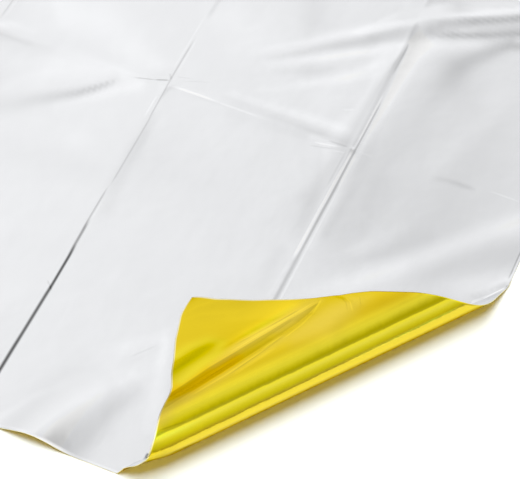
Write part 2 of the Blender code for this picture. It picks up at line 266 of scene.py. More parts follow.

# Crisp lines of painted highlight and painted shade on the bright side, where its folds catch or
# lose the light: start and end in millimetres, half width, change in hundredths
SILVER_LIGHT_AND_SHADE_LINES = (
    # first column crease, from the near edge
    ((200, 14), (199.6, 52), 1.6, -88), ((199.65, 42), (199.2, 84), 1.5, -85),
    ((199.15, 74), (199.3, 108), 1.3, -90), ((199.6, 98), (200, 124), 1.3, -55),
    ((200.3, 114), (200.4, 146), 0.9, -28), ((197, 77), (203, 83), 0.8, -12),
    ((199, 122), (199.1, 138), 0.7, 5), ((199.6, 144), (199.9, 198), 0.9, -15),
    ((200.2, 188), (200.9, 222), 0.8, -18), ((202.8, 190), (203, 209), 0.8, 7),
    ((201.1, 212), (201.2, 250), 0.9, -20), ((199.9, 222), (199.9, 252), 0.8, 5),
    ((202.8, 224), (202.6, 268), 0.8, 4), ((200.8, 262), (200.6, 292), 2.2, -9),
    # node of the first column and first row creases
    ((200.8, 218.6), (209, 215.6), 0.8, -34), ((207, 216.2), (219.5, 212.6), 0.7, -24),
    ((200.4, 219), (203.4, 223), 1, -12), ((198.5, 215.6), (172, 214.9), 1.2, 17),
    ((178, 215), (146, 214.3), 1.1, 8), ((298.8, 219), (298.8, 244), 0.8, -12),
    ((296.9, 219), (296.9, 244), 0.8, 4),
    # second column crease: dark core, pale line to its left and to its right
    ((98.9, 106), (98.4, 148), 1.8, -27), ((98.45, 138), (97.9, 182), 1.1, -30),
    ((97.9, 172), (97.4, 214), 1, -32), ((97.4, 204), (97, 250), 0.8, -30),
    ((102.6, 112), (101, 142), 1.2, 3), ((100.3, 138), (99.6, 180), 1.3, 22),
    ((99.7, 170), (98.9, 204), 1.2, 32), ((99, 194), (98.5, 218), 0.9, 28),
    ((98.2, 212), (98, 256), 0.8, 16), ((96.6, 106), (96.3, 156), 0.9, 8),
    ((96.3, 146), (96, 196), 1, 8), ((98.4, 264), (98, 292), 0.9, -20),
    ((101.8, 184), (101, 214), 1.2, -9), ((96.6, 186), (96.2, 216), 1.6, 14),
    # small folds where the first row crease crosses it
    ((120, 210.2), (104, 211.9), 0.8, 13), ((121, 207.3), (106, 210.2), 0.8, -10),
    ((113, 213.6), (100, 213), 1.1, -12), ((108, 208.6), (101, 209.6), 0.6, 7),
    ((96, 213), (87, 213), 0.7, 7), ((29, 216), (11, 215.5), 0.8, 7),
    # fold at the right-hand edge, beside the turned corner
    ((9.5, 152.5), (0, 165), 0.7, 20), ((7.5, 152.5), (0, 161.5), 0.8, -16),
    ((149, 57), (138, 70.5), 0.8, -6), ((114, 235), (107, 238), 0.7, 6),
    ((191, 224), (199, 222), 0.5, -6), ((180, 226), (198, 219.5), 0.5, -5),
)

# Painted shade and painted highlights of the gold side over the turned corner, standing in for what
# its folds mirror, in the same columns as the bright side's
GOLD_LIGHT_AND_SHADE = (
    # valley behind the swelling near the tip, and its rim
    ((56, -1, 4, -25), (46, 5, 4, -27), (40, 9, 4, -23), (34, 13, 4, -17), (30, 16, 3, -4)),
    ((59, 4, 2, 3), (48, 12, 2, 3), (39, 19, 2, 4), (31, 20, 2, 4)),
    ((27, 14, 2, 3), (31, 7, 3, 6), (38, 1, 3, 8)),
    # painted shade toward the tip, the near edge and the right-hand edge
    ((24, 4, 22, -9), (50, 4, 14, -5), (66, 4, 12, -5)),
    ((0, 38, 6, -9), (2, 27, 8, -19), (3, 18, 8, -18), (6, 4, 8, -7)),
    ((81, 1, 5, -17), (73, 7, 4, -12), (67, 14, 4, -4)),
    # painted highlight along the strip of the flat part beside the pleat
    ((32, 24, 3, 7), (25, 32, 4, 24), (19, 38, 4, 26), (13, 44, 4, 20), (6, 50, 4, 14)),
    # sag above the nick on the right-hand edge
    ((2, 99, 5, -14), (7, 90, 5, -18), (13, 80, 5, -14), (20, 73, 4, -8), (27, 72, 4, -6)),
    ((36, 62, 4, -5), (38, 55, 4, -5), (50, 34, 3, -4)),
    # the roll's near-edge end, darker outside and bright beside the column crease
    ((107, -1, 1.6, -34), (101, 7, 1.6, -30), (97, 12, 1.2, -6)),
    ((92, 0, 2.5, 50), (90, 5, 2, 24), (86, 12, 2, 16), (80, 20, 1.5, 6), (72, 30, 1.5, 2)),
    ((90, 14, 1.5, 8), (84, 20, 1.5, 5)),
    ((97, 0, 3, -14), (93, 6, 2, 0)),
)
# Crisp lines of painted highlight and painted shade on the gold side: start and end in millimetres,
# half width, change in hundredths
GOLD_LIGHT_AND_SHADE_LINES = (
    # lower lip of the pleat and the dark line below it
    ((41, 22.5), (22, 41), 0.7, 10), ((26.4, 36.6), (13, 50.4), 0.7, 10),
    ((19, 44.2), (3, 60.4), 0.7, 10), ((36, 24.6), (20.3, 41.3), 0.7, -14),
    ((24, 37.4), (8, 54.4), 0.7, -20),
    # upper lip, with a dark line and a bright one above it
    ((72, 9.5), (50, 30.5), 1, 14), ((56.5, 24.2), (38, 40), 0.9, 12),
    ((40, 37.2), (28.5, 46.5), 0.7, 20), ((33, 46.2), (19, 56.2), 0.9, 15),
    ((22.5, 53.8), (12, 59.5), 0.8, 15), ((15, 58.2), (0.5, 63), 0.8, 16),
    ((57.5, 25), (38, 41.2), 0.6, -15), ((42, 38), (30, 46.8), 0.6, -12),
    ((58, 27), (36, 46), 1.6, 10),
    # fine creases on the floor of the pleat
    ((71, 3.2), (44, 28), 0.5, -9), ((72, 1.8), (44, 26.4), 0.7, 7), ((45, 30), (24, 50), 0.5, -7),
    ((41, 30.6), (17, 52.4), 0.5, 5), ((38, 31), (16, 51), 0.5, -6),
    # roll's near-edge end
    ((90.8, -0.5), (82, 14), 0.7, -20), ((100, 9.5), (91.5, 22.5), 1.2, -28),
    # bright edge of the fold strip toward the right-hand edge
    ((42, 77.6), (20.5, 105), 0.9, 34), ((26.5, 97.4), (9, 119.8), 0.9, 46),
    ((15, 112), (1, 130), 0.9, 46),
    # nick on the right-hand edge
    ((15, 77.5), (0.5, 71.5), 0.6, 12), ((14, 74.5), (0.5, 70), 0.6, -10),
    ((3, 78), (11, 80.5), 0.6, -8),
)

# Crisp bands of painted shade on the floor of the pleat: start and end in millimetres, half width
# at each, change in hundredths
GOLD_SHADE_BANDS = (
    ((75.6, -1.8), (53.1, 18), 4.35, 4.4, -16),
    ((53.1, 18), (41.3, 28.9), 4.4, 3.85, -18),
    ((41.3, 28.9), (29.6, 39.8), 3.85, 3.45, -20),
    ((29.6, 39.8), (17.8, 50.6), 3.45, 2.8, -14),
    ((17.8, 50.6), (11.7, 55.8), 2.8, 1.85, -19),
    ((11.7, 55.8), (5.3, 60.7), 1.85, 0.8, -24),
    ((72.3, -2.5), (51.2, 15.9), 1.7, 1.8, -12),
    ((51.2, 15.9), (39.9, 27.3), 1.8, 1.8, -12),
    ((39.9, 27.3), (28.3, 38.4), 1.8, 1.5, -6),
    ((28.3, 38.4), (16.7, 49.4), 1.4, 1.2, -11),
)
BAND_BORDER = 0.0007    # soft border of a band

# Colours of the gold side: AMBER is the lacquered film's own colour, the others are painted
# reflection colours that stand in for what the bent film mirrors. Where they change: distance past
# the fold line in millimetres, colour
AMBER = "#F4D62D"
EDGE = "#F4D50C"
BRINK = "#F4DE6C"
STRIP = "#F4DA43"
SEAM = "#F4D708"
OLIVE = "#F4E314"
LEMON = "#F4E64E"
CITRON = "#F4E203"
CORN = "#F4E43A"
MAIZE = "#F4DE34"
ORANGE = "#F4C604"
PALE = "#F4D850"
LACQUER_AND_REFLECTION_STOPS = ((0, EDGE), (14.9, EDGE), (15.6, BRINK), (17, STRIP), (19.7, STRIP), (20.5, SEAM),
                 (21.4, OLIVE), (22.6, OLIVE), (26, LEMON), (27.3, CITRON), (29, CITRON),
                 (32, CORN), (34.5, MAIZE), (38.5, AMBER))
# The seam's colours run out of line with the fold: how far by the right-hand edge, and over which
# distances past the fold line that comes in and goes out
SEAM_SLANT = 0.0012
SEAM_SPAN = (0.0180, 0.0197, 0.0222, 0.0245)
# Where else a colour shows, mostly as painted reflection colours: stations in millimetres on the
# flat sheet: across, away, half width, share of that colour
LACQUER_AND_REFLECTION_SPOTS = (
    (ORANGE, ((76, -2, 3, 0.3), (68, 5, 4.4, 2.2), (58, 14, 4.2, 2.4), (48, 23, 4.2, 2.2),
              (42, 28, 4, 1), (37, 33, 4, 0.3))),
    (AMBER, ((40, 31, 4, 0.8), (31, 39, 4, 1), (22, 47, 4, 0.4))),
    (PALE, ((30, 53, 6, 0.7), (22, 63, 9, 0.9), (14, 70, 8, 0.9), (8, 77, 6, 0.7),
            (5, 82, 4, 0.3))),
    (PALE, ((48, 17, 2.5, 0.4), (35, 28, 2.5, 0.9), (24, 39, 3, 0.9), (12, 50, 3.5, 0.8),
            (2, 60, 4, 0.7))),
    (PALE, ((24, 44, 3, 0.7), (17, 51, 3, 0.9), (10, 56, 3, 0.4))),
    (PALE, ((72, 10, 3, 0.5), (56, 25, 3, 0.6), (44, 36, 3, 0.5), (32, 46, 3, 0.7))),
    (PALE, ((84, 0, 4, 0.8), (76, 3, 4, 0.9), (70, 10, 3, 0.5))),
    (CITRON, ((57, -2, 4, 0.8), (46, 5, 5, 1.2), (38, 10, 5, 1.3), (31, 15, 4, 0.7))),
    (CORN, ((59, 4, 3, 0.7), (48, 12, 3, 0.7), (39, 19, 3, 0.7), (30, 20, 3, 0.6),
            (27, 14, 3, 0.5), (32, 6, 3, 0.6), (39, 0, 3, 0.8))),
    (ORANGE, ((1, 100, 4, 0.3), (6, 90, 5, 0.3), (12, 82, 4, 0.2))),
)

# Painted shade and painted highlights across the roll, standing in for what its bends mirror:
# distance past the fold line in millimetres, change in hundredths
ROLL_LIGHT_AND_SHADE = ((12.5, -42), (13.8, -49), (14.7, -57), (15.2, -52), (16, -24), (16.6, -10),
              (19.6, -8), (20.4, -7), (21.2, 0), (22.2, 4), (23.2, 8), (25.8, 6), (26.6, 0),
              (29, -1), (30.2, 0), (31.2, 6), (32.2, 11), (33, 11), (33.8, 6), (34.6, -3),
              (35.5, -8), (37.2, -8), (38.5, -5), (42, 0))

# Least half widths of a fold and of a tone at a station, in millimetres
LEAST_REACH = 0.001
LEAST_TONE_REACH = 0.5

# Fine net near the corner, coarse net elsewhere, each with closer lines beside the creases
NEAR_ACROSS = 0.320
NEAR_AWAY = 0.360
NEAR_STEP = 0.0022
CREASE_OFFSETS = (-0.0030, -0.0017, -0.0008, 0.0, 0.0008, 0.0017, 0.0030)
FAR_STEP = 0.024
FAR_OFFSETS = (-0.0030, 0.0, 0.0030)
CLEARANCE = 0.45        # share of a step kept clear beside a crease's own lines
ROLL_ROWS = 64
MICRONS_PER_METRE = 1e6
TINY = 1e-9
ON_FOLD = 1e-8


# ---------------- flat and laid-out places
def smooth_step(value):
    """Ease from 0 to 1 while value goes from 0 to 1."""
    value = np.clip(value, 0.0, 1.0)
    return value * value * (3.0 - 2.0 * value)


def noise_at(across, away, wave, seed):
    """Smooth noise, about -0.5 to 0.5, over flat points."""
    return np.array([noise.noise(Vector((u / wave, v / wave, seed))) for u, v in zip(across, away)])


def past_fold(across, away):
    """Distance of flat points past the fold line, toward the sheet's corner."""
    return CORNER_HEIGHT - (across * FOLD_ON_RIGHT_EDGE + away * FOLD_ON_NEAR_EDGE) / FOLD_LENGTH


def along_fold(across, away):
    """Distance of flat points along the fold line, from its near-edge end."""
    return (away * FOLD_ON_RIGHT_EDGE
            - (across - FOLD_ON_NEAR_EDGE) * FOLD_ON_NEAR_EDGE) / FOLD_LENGTH


def from_fold(along, outward):
    """Flat points from distances along the fold line and outward from it."""
    across = FOLD_ON_NEAR_EDGE - (along * FOLD_ON_NEAR_EDGE
                                  + outward * FOLD_ON_RIGHT_EDGE) / FOLD_LENGTH
    away = (along * FOLD_ON_RIGHT_EDGE - outward * FOLD_ON_NEAR_EDGE) / FOLD_LENGTH
    return across, away


def ridge(distance, reach):
    """Height, from 0 to 1, of a ridge at a distance from its crest."""
    return np.maximum(0.0, 1.0 - np.abs(distance) / reach) ** RIDGE_SHARPNESS


def crease_relief(across, away):
    """Height that the packing creases give the sheet: every second one stands, unevenly."""
    height = np.zeros_like(across)
    for place, beside, first, pitch, crest, seed in (
            (across, away, 0.0, PANEL_WIDTH, RIDGE_HEIGHT, 0),
            (away, across, FIRST_ROW, ROW_LENGTH, CROSS_RIDGE_HEIGHT, CROSS_SEED)):
        number = np.round((place - first) / pitch)
        share = noise_at((number + seed) * SEED_STEP, beside * RIDGE_CHANGES, 1.0, RIDGE_SEED)
        share = np.maximum(LEAST_RIDGE, 1.0 + RIDGE_VARIATION * 2.0 * share)
        standing = (number % 2 == 1) * crest * share
        height += standing * ridge(place - first - number * pitch, RIDGE_REACH)
    return height


def beside_row(across, away, row):
    """Distance of flat points from a row of stations, and the row's other columns there."""
    row = np.array(row, dtype=float)
    places = row[:, 0:2] / MM_PER_METRE
    nearest = np.full(len(across), np.inf)
    carried = np.zeros((len(across), row.shape[1] - 2))
    for index in range(len(row) - 1):
        run = places[index + 1] - places[index]
        left = across - places[index, 0]
        up = away - places[index, 1]
        held = np.clip((left * run[0] + up * run[1]) / (run @ run), 0.0, 1.0)
        distance = np.hypot(left - run[0] * held, up - run[1] * held)
        closer = distance < nearest
        nearest = np.where(closer, distance, nearest)
        here = row[index, 2:] + np.outer(held, row[index + 1, 2:] - row[index, 2:])
        carried = np.where(closer[:, None], here, carried)
    return nearest, carried


def folds_relief(across, away, folds):
    """Height of folds pulled into the sheet by hand."""
    height = np.zeros_like(across)
    for row in folds:
        distance, carried = beside_row(across, away, row)
        reach = np.maximum(carried[:, 1], LEAST_REACH) / MM_PER_METRE
        height += carried[:, 0] / MM_PER_METRE * smooth_step(1.0 - distance / reach)
    return height


def edge_relief(across, away):
    """Height by which the free edges lift off in places."""
    inside = np.minimum(np.minimum(across, WIDTH - across), np.minimum(away, LENGTH - away))
    wave = np.maximum(noise_at(across, away, EDGE_WAVE, EDGE_SEED), 0.0)
    return EDGE_LIFT * wave * ridge(inside, EDGE_REACH)


def relief(across, away):
    """Height of the sheet's underside above the surface it lies on."""
    height = crease_relief(across, away) + edge_relief(across, away)
    height += SWELL_HEIGHT * noise_at(across, away, SWELL_LENGTH, SWELL_SEED)
    smoothed = smooth_step((np.hypot(across, away) - SMOOTHED_RADIUS) / SMOOTHED_BLEND)
    height *= SMOOTHED_SHARE + (1.0 - SMOOTHED_SHARE) * smoothed
    height += folds_relief(across, away, PULLED_FOLDS) - SETTLING
    rest = np.hypot(across - WIDTH / 2.0, away - LENGTH / 2.0)
    height *= smooth_step((rest - REST_RADIUS) / REST_BLEND)
    height *= smooth_step((-past_fold(across, away) - FLAT_BELOW_CORNER) / CORNER_BLEND)
    return np.maximum(height, 0.0) + folds_relief(across, away, EDGE_FOLDS)


def roll_points(along, past):
    """Outward distances, heights and headings of the rolled film, from its headings added up."""
    steps = math.ceil(CORNER_HEIGHT / ROLL_STEP) + 1
    middle = (np.arange(steps) + 0.5) * ROLL_STEP
    stations = np.arange(steps + 1) * ROLL_STEP
    share = np.clip(along / FOLD_LENGTH, 0.0, 1.0)
    outward = height = heading = 0.0
    for headings, weight in ((ROLL_SECTION[:, 1], 1.0 - share), (ROLL_SECTION[:, 2], share)):
        turn = np.radians(np.interp(middle, ROLL_SECTION[:, 0], headings))
        run = np.concatenate(([0.0], np.cumsum(np.cos(turn)) * ROLL_STEP))
        rise = np.concatenate(([0.0], np.cumsum(np.sin(turn)) * ROLL_STEP))
        outward = outward + np.interp(past, stations, run) * weight
        height = height + np.interp(past, stations, rise) * weight
        heading = heading + np.interp(past, ROLL_SECTION[:, 0], headings) * weight
    return outward, height, np.radians(heading)


def lay(across, away):
    """World places of flat points once the sheet is laid out and its corner turned."""
    past = past_fold(across, away)
    height = relief(across, away)
    along = along_fold(across, away)
    outward, rolled, heading = roll_points(along, np.maximum(past, 0.0))
    pulled = folds_relief(across, away, CORNER_FOLDS) * smooth_step(past / ROLL_EASE)
    outward = outward + pulled * np.sin(heading)
    rolled = rolled - pulled * np.cos(heading)
    shift = np.interp(past, ROLL_SHIFT[:, 0], ROLL_SHIFT[:, 1])
    rolled_across, rolled_away = from_fold(along - shift, outward)
    turned = past > 0.0
    across = np.where(turned, rolled_across, across)
    away = np.where(turned, rolled_away, away)
    height = np.where(turned, rolled, height)
    return np.stack((WIDTH / 2.0 - across, away - LENGTH / 2.0, height + UNDERSIDE), axis=1)


# ---------------- net of the flat sheet
def lines(start, end, step, creases, offsets):
    """Even lines from start to end, with closer ones beside each crease."""
    even = np.linspace(start, end, round((end - start) / step) + 1)
    beside = [crease + offset for crease in creases for offset in offsets]
    beside = [line for line in beside if start < line < end]
    clear = [line for line in even if line in (start, end)
             or all(abs(line - other) > step * CLEARANCE for other in beside)]
    return sorted(set(round(float(line), 6) for line in clear + beside))


class Net:
    """Points and faces of the flat sheet, each point kept once."""

    def __init__(self):
        self.index = {}
        self.points = []
        self.faces = []

    def point(self, across, away):
        """Number of a flat point."""
        key = (round(across * MICRONS_PER_METRE), round(away * MICRONS_PER_METRE))
        if key not in self.index:
            self.index[key] = len(self.points)
            self.points.append((across, away))
        return self.index[key]

    def face(self, corners):
        """Add one face from its flat corners."""
        loop = []
        for corner in corners:
            number = self.point(*corner)
            if number not in loop:
                loop.append(number)
        if len(loop) > 2:
            self.faces.append(loop)


def cell_corners(left, right, near, far, across_stops, away_stops):
    """Corners of a cell, with the finer net's points on the sides that touch it."""
    bottom, top = [[(u, v) for u in across_stops.get(v, ()) if left < u < right]
                   for v in (near, far)]
    low, high = [[(u, v) for v in away_stops.get(u, ()) if near < v < far]
                 for u in (left, right)]
    return [(left, near), *bottom, (right, near), *high, (right, far), *top[::-1],
            (left, far), *low[::-1]]


def clip_corner(corners):
    """The part of a flat cell that isn't turned over."""
    kept = []
    for (u0, v0), (u1, v1) in zip(corners, corners[1:] + corners[:1]):
        start = past_fold(u0, v0)
        end = past_fold(u1, v1)
        if start <= TINY:
            kept.append((u0, v0))
        if (start > TINY and end < -TINY) or (start < -TINY and end > TINY):
            share = start / (start - end)
            kept.append((u0 + (u1 - u0) * share, v0 + (v1 - v0) * share))
    return kept


def sheet_net():
    """Net of the whole flat sheet: fine near the corner, in rows on the roll, coarse beyond."""
    creases_across = [PANEL_WIDTH * k for k in range(1, round(WIDTH / PANEL_WIDTH))]
    creases_away = [FIRST_ROW + ROW_LENGTH * k for k in range(ROWS)]
    far_across = lines(0.0, WIDTH, FAR_STEP, creases_across, FAR_OFFSETS)
    far_away = lines(0.0, LENGTH, FAR_STEP, creases_away, FAR_OFFSETS)
    far_across = sorted(set(far_across) | {NEAR_ACROSS})
    far_away = sorted(set(far_away) | {NEAR_AWAY})
    near_across = lines(0.0, NEAR_ACROSS, NEAR_STEP, creases_across, CREASE_OFFSETS)
    near_away = lines(0.0, NEAR_AWAY, NEAR_STEP, creases_away, CREASE_OFFSETS)
    near_across = sorted(set(near_across) | {u for u in far_across if u <= NEAR_ACROSS})
    near_away = sorted(set(near_away) | {v for v in far_away if v <= NEAR_AWAY})

    net = Net()
    on_fold = {}
    for near, far in zip(near_away, near_away[1:]):
        for left, right in zip(near_across, near_across[1:]):
            corners = [(left, near), (right, near), (right, far), (left, far)]
            if past_fold(left, near) > 0.0:
                corners = clip_corner(corners)
            if len(corners) > 2:
                net.face(corners)
                for corner in corners:
                    if abs(past_fold(*corner)) < ON_FOLD:
                        on_fold[net.point(*corner)] = corner
    across_stops = {NEAR_AWAY: near_across}
    away_stops = {NEAR_ACROSS: near_away}
    for near, far in zip(far_away, far_away[1:]):
        for left, right in zip(far_across, far_across[1:]):
            if right > NEAR_ACROSS or far > NEAR_AWAY:
                net.face(cell_corners(left, right, near, far, across_stops, away_stops))
    roll_net(net, sorted(on_fold.values(), key=lambda corner: along_fold(*corner)))
    return net


def roll_net(net, on_fold):
    """Rows of the turned corner, from the fold line to the sheet's corner."""
    shares = [along_fold(*corner) / FOLD_LENGTH for corner in on_fold]
    rows = [on_fold]
    for index in range(1, ROLL_ROWS + 1):
        size = 1.0 - index / ROLL_ROWS
        rows.append([(FOLD_ON_NEAR_EDGE * size * (1.0 - share), FOLD_ON_RIGHT_EDGE * size * share)
                     for share in shares])
    for low, high in zip(rows, rows[1:]):
        for index in range(len(shares) - 1):
            net.face([low[index], low[index + 1], high[index + 1], high[index]])


# ---------------- the film as a thin closed sheet
def film_mesh():
    """Closed thin sheet: silver faces, gold faces and the cut rim, in that material order."""
    net = sheet_net()
    flat = np.array(net.points)
    gold = lay(flat[:, 0], flat[:, 1])
    faces = [part[::-1] for loop in net.faces for part in halves(loop)]
    normals = point_normals(gold, faces)
    silver = gold + normals * FILM
    count = len(gold)
    rim = rim_edges(faces)
    loops = [[number + count for number in loop] for loop in faces]
    loops += [loop[::-1] for loop in faces]
    loops += [[b + count, a + count, a, b] for a, b in rim]
    mesh = bpy.data.meshes.new("foil_film")
    mesh.from_pydata(np.concatenate((gold, silver)).tolist(), [], loops)
    kinds = [0] * len(faces) + [1] * len(faces) + [2] * len(rim)
    mesh.polygons.foreach_set("material_index", kinds)
    mesh.shade_smooth()
    mesh.update()
    carry_values(mesh, np.concatenate((flat, flat)))
    return mesh


def halves(loop):
    """A four-cornered face as two triangles, so that both sides of the film bend alike."""
    if len(loop) == 4:
        return [loop[:3], [loop[2], loop[3], loop[0]]]
    return [loop]


def painted(across, away, rows):
    """Sum at flat points of what soft rows of stations carry."""
    level = np.zeros_like(across)
    for row in rows:
        distance, carried = beside_row(across, away, row)
        reach = np.maximum(carried[:, 0], LEAST_TONE_REACH) / MM_PER_METRE
        level += carried[:, 1] * np.exp(-(distance / reach) ** 2)
    return level


def carry_values(mesh, flat):
    """Keep flat places as a UV map, and the painted light and shade and the gold side's colours
    with their painted reflection colours as point values, for the finishes to read.
    """
    across = flat[:, 0]
    away = flat[:, 1]
    past = past_fold(across, away)
    # painted light and shade across the roll
    rolled = np.interp(past, *(np.array(ROLL_LIGHT_AND_SHADE) / (MM_PER_METRE, HUNDREDTHS)).T)
    values = {"silver_painted_light": painted(across, away, SILVER_LIGHT_AND_SHADE) / HUNDREDTHS,
              "gold_painted_light": painted(across, away, GOLD_LIGHT_AND_SHADE) / HUNDREDTHS + rolled}
    for name, level in values.items():
        attribute = mesh.attributes.new(name, "FLOAT", "POINT")
        attribute.data.foreach_set("value", level)
    attribute = mesh.attributes.new("lacquer_and_reflections", "FLOAT_COLOR", "POINT")
    attribute.data.foreach_set("color", lacquer_and_reflections(across, away).ravel())
    corners = np.empty(len(mesh.loops), dtype=np.int32)
    mesh.loops.foreach_get("vertex_index", corners)
    layer = mesh.uv_layers.new(name="flat")
    layer.uv.foreach_set("vector", flat[corners].astype(np.float32).ravel())


def lacquer_and_reflections(across, away):
    """Lacquer colour at flat points, with the painted reflection colours of its stops past the fold
    line and of its spots.
    """
    places = [place / MM_PER_METRE for place, code in LACQUER_AND_REFLECTION_STOPS]
    stops = np.array([linear(code) for place, code in LACQUER_AND_REFLECTION_STOPS])
    past = past_fold(across, away)
    slant = SEAM_SLANT * along_fold(across, away) / FOLD_LENGTH
    past -= slant * np.interp(past, SEAM_SPAN, (0, 1, 1, 0))
    colour = np.stack([np.interp(past, places, channel) for channel in stops.T], axis=1)
    for code, row in LACQUER_AND_REFLECTION_SPOTS:
        share = np.clip(painted(across, away, (row,)), 0.0, 1.0)[:, None]
        colour += (np.array(linear(code)) - colour) * share
    return colour


def point_normals(places, faces):
    """Smooth normals of an open mesh."""
    draft = bpy.data.meshes.new("draft")
    draft.from_pydata(places.tolist(), [], faces)
    draft.update()
    normals = np.empty(len(places) * 3)
    draft.vertex_normals.foreach_get("vector", normals)
    bpy.data.meshes.remove(draft)
    return normals.reshape(-1, 3)


def rim_edges(faces):
    """Edges used by one face only, in that face's direction."""
    used = {}
    for loop in faces:
        for a, b in zip(loop, loop[1:] + loop[:1]):
            if (b, a) in used:
                del used[(b, a)]
            else:
                used[(a, b)] = True
    return list(used)


# ---------------- finishes
# Kinds of node, and the sockets of a mix that share a name
ATTRIBUTE = "ShaderNodeAttribute"
AXES = "ShaderNodeSeparateXYZ"
MATH = "ShaderNodeMath"
MIX = "ShaderNodeMix"
NOISE = "ShaderNodeTexNoise"
PLACE = "ShaderNodeTexCoord"
RANGE = "ShaderNodeMapRange"
VECTOR = "ShaderNodeVectorMath"
NUMBER_A, NUMBER_B = 2, 3
COLOUR_A, COLOUR_B, COLOUR_RESULT = 6, 7, 2

SILVER = "#F2F3F5"
GLANCE = "#FFE880"      # lacquer stays yellow at a glancing angle, where bare metal turns white
CREAM = "#FFF6C8"
CUT_EDGE = "#F4E9A0"
LINE_TAPER = 0.010      # crisp lines fade out over this length, or over a share of a short line
TAPER_SHARE = 0.3
CUT_BAND = 0.0008       # pale band along the cut edges of the gold side, up to CUT_END from the
CUT_END = 0.060         # sheet's corner and fading over the last CUT_FADE
CUT_FADE = 0.012
MOTTLE_SIZE = 0.030     # faint uneven patches of metal
MOTTLE = 0.04
CRINKLE_SIZE = 0.018    # soft crinkle of thin plastic
CRINKLE_HEIGHT = 0.0003

# Painted shade: dark hairlines along the packing creases, half width at their soft border and at
# their core, and where they start, away from the sheet's corner. They are broken by patches
CREASE_SHADE_EDGE = 0.0011
CREASE_SHADE_CORE = 0.0002
CREASE_SHADE_FROM = 0.36
CREASE_SHADE_FULL = 0.44
CREASE_SHADE_LEVEL = -0.34
CREASE_SHADE_PATCHES = 22.0    # to the metre
PATCH_START = 0.38
PATCH_END = 0.62


def linear(code):
    """Linear colour from an sRGB hex value."""
    channels = [int(code[place:place + 2], 16) / 255.0 for place in (1, 3, 5)]
    return tuple(c / 12.92 if c <= 0.04045 else ((c + 0.055) / 1.055) ** 2.4
                 for c in channels) + (1.0,)


def add_node(tree, kind, inputs=None, **settings):
    """Add a node with its settings; an input is a value, a socket, or a node's first output."""
    node = tree.nodes.new(kind)
    for name, value in settings.items():
        setattr(node, name, value)
    for socket, value in (inputs or {}).items():
        if isinstance(value, bpy.types.Node):
            value = value.outputs[0]
        if isinstance(value, bpy.types.NodeSocket):
            tree.links.new(value, node.inputs[socket])
        else:
            node.inputs[socket].default_value = value
    return node


def held_within(tree, level, *steps):
    """A level times soft steps, each a value, where it gives nothing and where it gives all."""
    for value, none_at, all_at in steps:
        step = add_node(tree, RANGE, {"Value": value, "From Min": none_at, "From Max": all_at},
                        interpolation_type="SMOOTHSTEP")
        level = add_node(tree, MATH, {0: step, 1: level}, operation="MULTIPLY")
    return level


def beside_line(tree, flat, start, end):
    """Distances along a line on the flat sheet, and beside it on either side."""
    along = (Vector(end) - Vector(start)).normalized()
    begin = (start[0] / MM_PER_METRE, start[1] / MM_PER_METRE, 0.0)
    offset = add_node(tree, VECTOR, {0: flat, 1: begin}, operation="SUBTRACT")
    run, side = [add_node(tree, VECTOR, {0: offset, 1: direction}, operation="DOT_PRODUCT")
                 for direction in ((along.x, along.y, 0.0), (-along.y, along.x, 0.0))]
    side = add_node(tree, MATH, {0: side.outputs["Value"]}, operation="ABSOLUTE")
    return run.outputs["Value"], side


def line_level(tree, flat, line):
    """Painted light and shade along one crisp line, brighter or darker by its level, tapered at its
    ends.
    """
    start, end, reach, level = line
    length = math.dist(start, end) / MM_PER_METRE
    run, side = beside_line(tree, flat, start, end)
    taper = min(LINE_TAPER, length * TAPER_SHARE)
    return held_within(tree, level / HUNDREDTHS, (side, reach / MM_PER_METRE, 0.0),
                       (run, 0.0, taper), (run, length, length - taper))


def band_level(tree, flat, band):
    """Painted shade along a crisp band whose width changes from end to end."""
    start, end, first, last, level = band
    length = math.dist(start, end) / MM_PER_METRE
    run, side = beside_line(tree, flat, start, end)
    border = add_node(tree, RANGE, {"Value": run, "From Max": length,
                                    "To Min": first / MM_PER_METRE, "To Max": last / MM_PER_METRE})
    within = add_node(tree, MATH, {0: border, 1: side}, operation="SUBTRACT")
    overlap = BAND_BORDER * 2.0
    return held_within(tree, level / HUNDREDTHS, (within, 0.0, BAND_BORDER),
                       (run, -overlap, overlap), (run, length + overlap, length - overlap))


def crease_shade_level(tree, flat):
    """Painted shade: dark hairlines along the packing creases, beyond the fine net."""
    axes = add_node(tree, AXES, {"Vector": flat})
    nearby = []
    for axis, first, pitch in (("X", 0.0, PANEL_WIDTH), ("Y", FIRST_ROW, ROW_LENGTH)):
        count = add_node(tree, MATH, {0: axes.outputs[axis], 1: first}, operation="SUBTRACT")
        count = add_node(tree, MATH, {0: count, 1: pitch}, operation="DIVIDE")
        crease = add_node(tree, MATH, {0: count}, operation="ROUND")
        beside = add_node(tree, MATH, {0: count, 1: crease}, operation="SUBTRACT")
        beside = add_node(tree, MATH, {0: beside}, operation="ABSOLUTE")
        beside = add_node(tree, MATH, {0: beside, 1: pitch}, operation="MULTIPLY")
        nearby.append(held_within(tree, 1.0, (beside, CREASE_SHADE_EDGE, CREASE_SHADE_CORE)))
    nearby = add_node(tree, MATH, {0: nearby[0], 1: nearby[1]}, operation="MAXIMUM")
    far = add_node(tree, VECTOR, {0: flat}, operation="LENGTH").outputs["Value"]
    patches = add_node(tree, NOISE, {"Vector": flat, "Scale": CREASE_SHADE_PATCHES, "Detail": 2.0})
    level = held_within(tree, nearby, (far, CREASE_SHADE_FROM, CREASE_SHADE_FULL),
                        (patches, PATCH_START, PATCH_END))
    return add_node(tree, MATH, {0: level, 1: CREASE_SHADE_LEVEL}, operation="MULTIPLY")


def silver_colour(tree, flat):
    """Bare aluminium on clear polyester: nearly white, a trace cool, the same all over."""
    return linear(SILVER)[:3]


